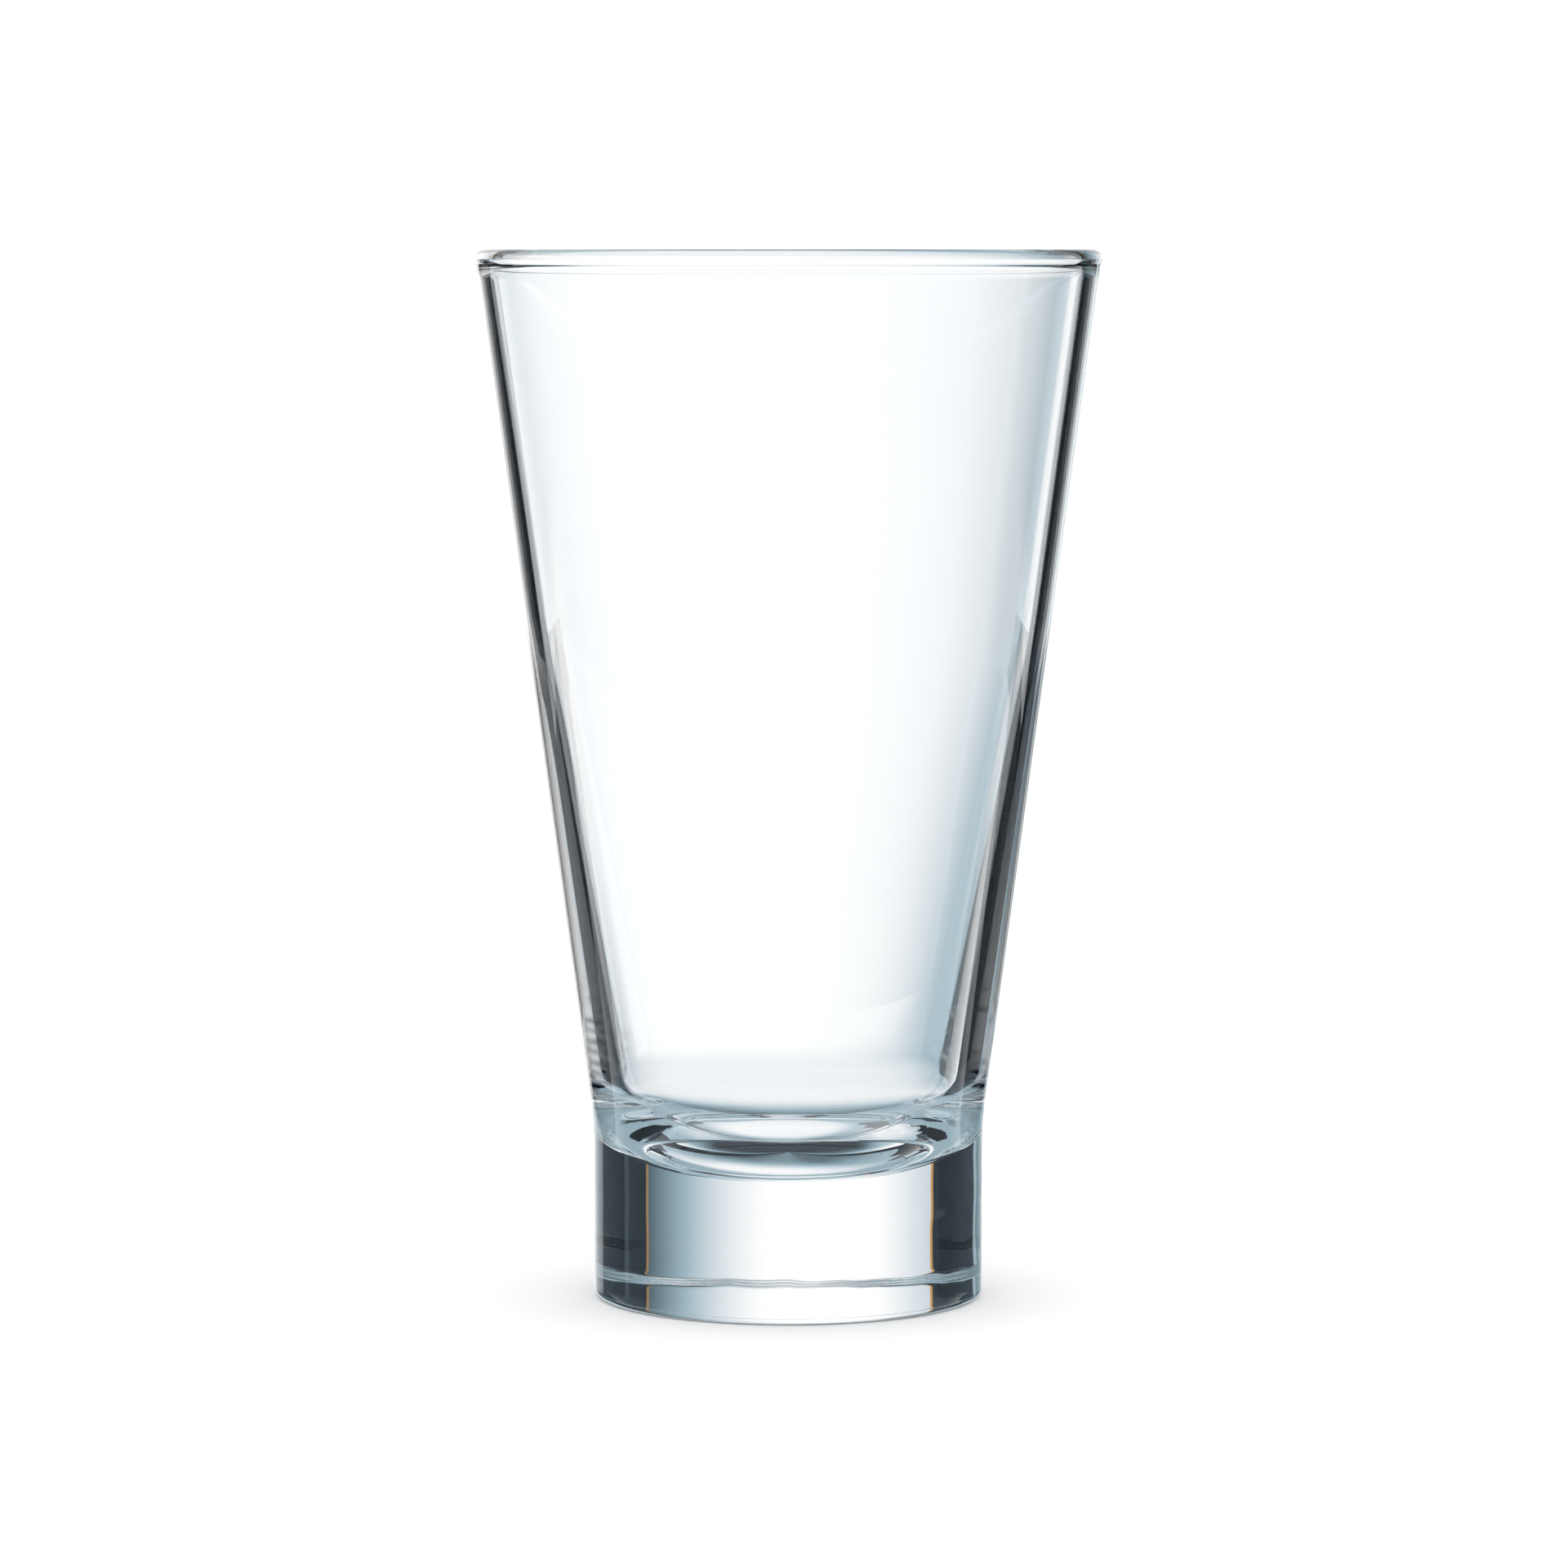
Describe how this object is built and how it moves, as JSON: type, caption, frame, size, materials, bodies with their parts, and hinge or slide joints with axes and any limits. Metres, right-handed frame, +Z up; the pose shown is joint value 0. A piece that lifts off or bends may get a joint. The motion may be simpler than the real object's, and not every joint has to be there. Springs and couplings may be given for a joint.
{
  "type": "pint glass",
  "caption": "Clear flared drinking glass with a rounded rim bead, a straight conical wall and a short, thick, solid foot.",
  "frame": {"origin": "centre of the flat underside, on the plane the glass stands on", "axes": "+Z up along the glass's axis; it is round about Z, so +X and +Y are any two level directions"},
  "size_m": [0.0904, 0.0904, 0.152],
  "materials": {
    "clear_glass": "clear soda-lime glass, fire-polished all over, with a faint cool tint in its thick parts"
  },
  "bodies": {
    "root": {"tumbler": "clear_glass"}
  },
  "joints": []
}
